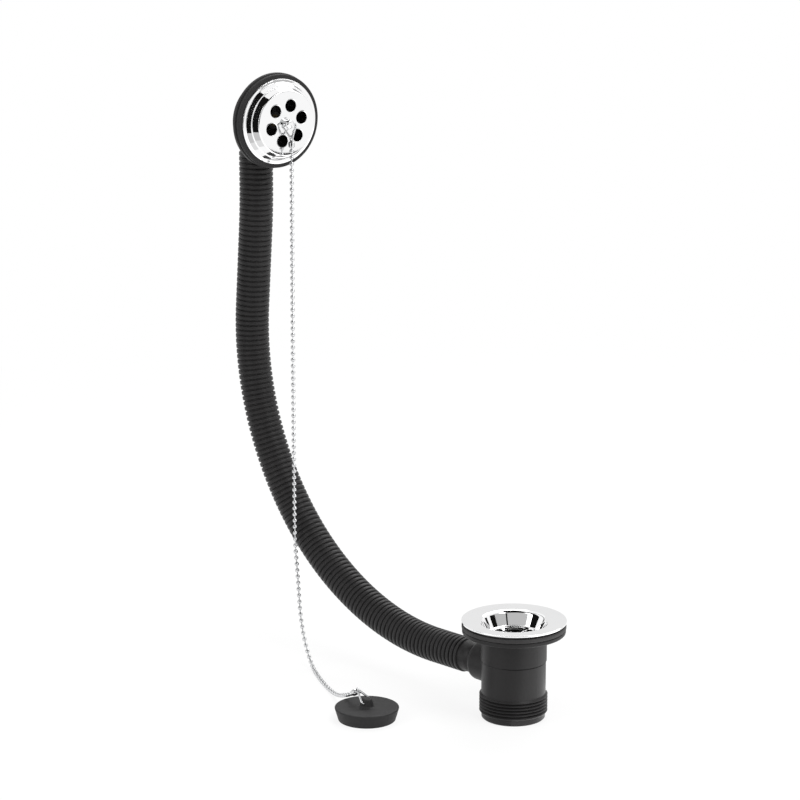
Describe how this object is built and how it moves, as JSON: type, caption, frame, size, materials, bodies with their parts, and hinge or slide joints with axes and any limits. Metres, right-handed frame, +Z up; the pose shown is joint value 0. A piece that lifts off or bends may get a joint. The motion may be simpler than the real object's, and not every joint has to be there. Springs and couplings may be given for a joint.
{
  "type": "bath waste and overflow",
  "caption": "Chromed bath waste and perforated overflow cover joined by a corrugated black hose, with a threaded tail and a rubber plug on a ball chain.",
  "frame": {"origin": "on the waste's axis, at the underside of its flange, where it seats on the bath floor", "axes": "+Z up along the waste's axis into the bath; the hose leaves the body towards -X and the overflow stands above it, looking towards +X"},
  "size_m": [0.3152, 0.1362, 0.4285],
  "materials": {
    "chrome_waste": "polished plate",
    "chrome_screw": "polished",
    "chrome_overflow": "polished plate",
    "chrome_stay": "polished",
    "chain_metal": "bright plate",
    "seal_rubber": "matt",
    "washer_rubber": "matt",
    "plug_rubber": "satin",
    "body_plastic": "moulded satin",
    "overflow_plastic": "moulded satin",
    "hose_plastic": "moulded satin",
    "insert_brass": "turned"
  },
  "bodies": {
    "root": {"waste_flange": "chrome_waste", "waste_screw": "chrome_screw", "flange_seal": "seal_rubber", "body_washer": "washer_rubber", "waste_body": "body_plastic", "waste_insert": "insert_brass", "overflow_hose": "hose_plastic", "overflow_body": "overflow_plastic", "overflow_insert": "insert_brass", "overflow_gasket": "washer_rubber", "overflow_faceplate": "chrome_overflow", "chain_stay": "chrome_stay", "top_link": "chain_metal", "top_coupling": "chain_metal", "chain_beads": "chain_metal", "chain_wires": "chain_metal", "bottom_coupling": "chain_metal", "plug_link": "chain_metal", "plug": "plug_rubber"}
  },
  "joints": []
}
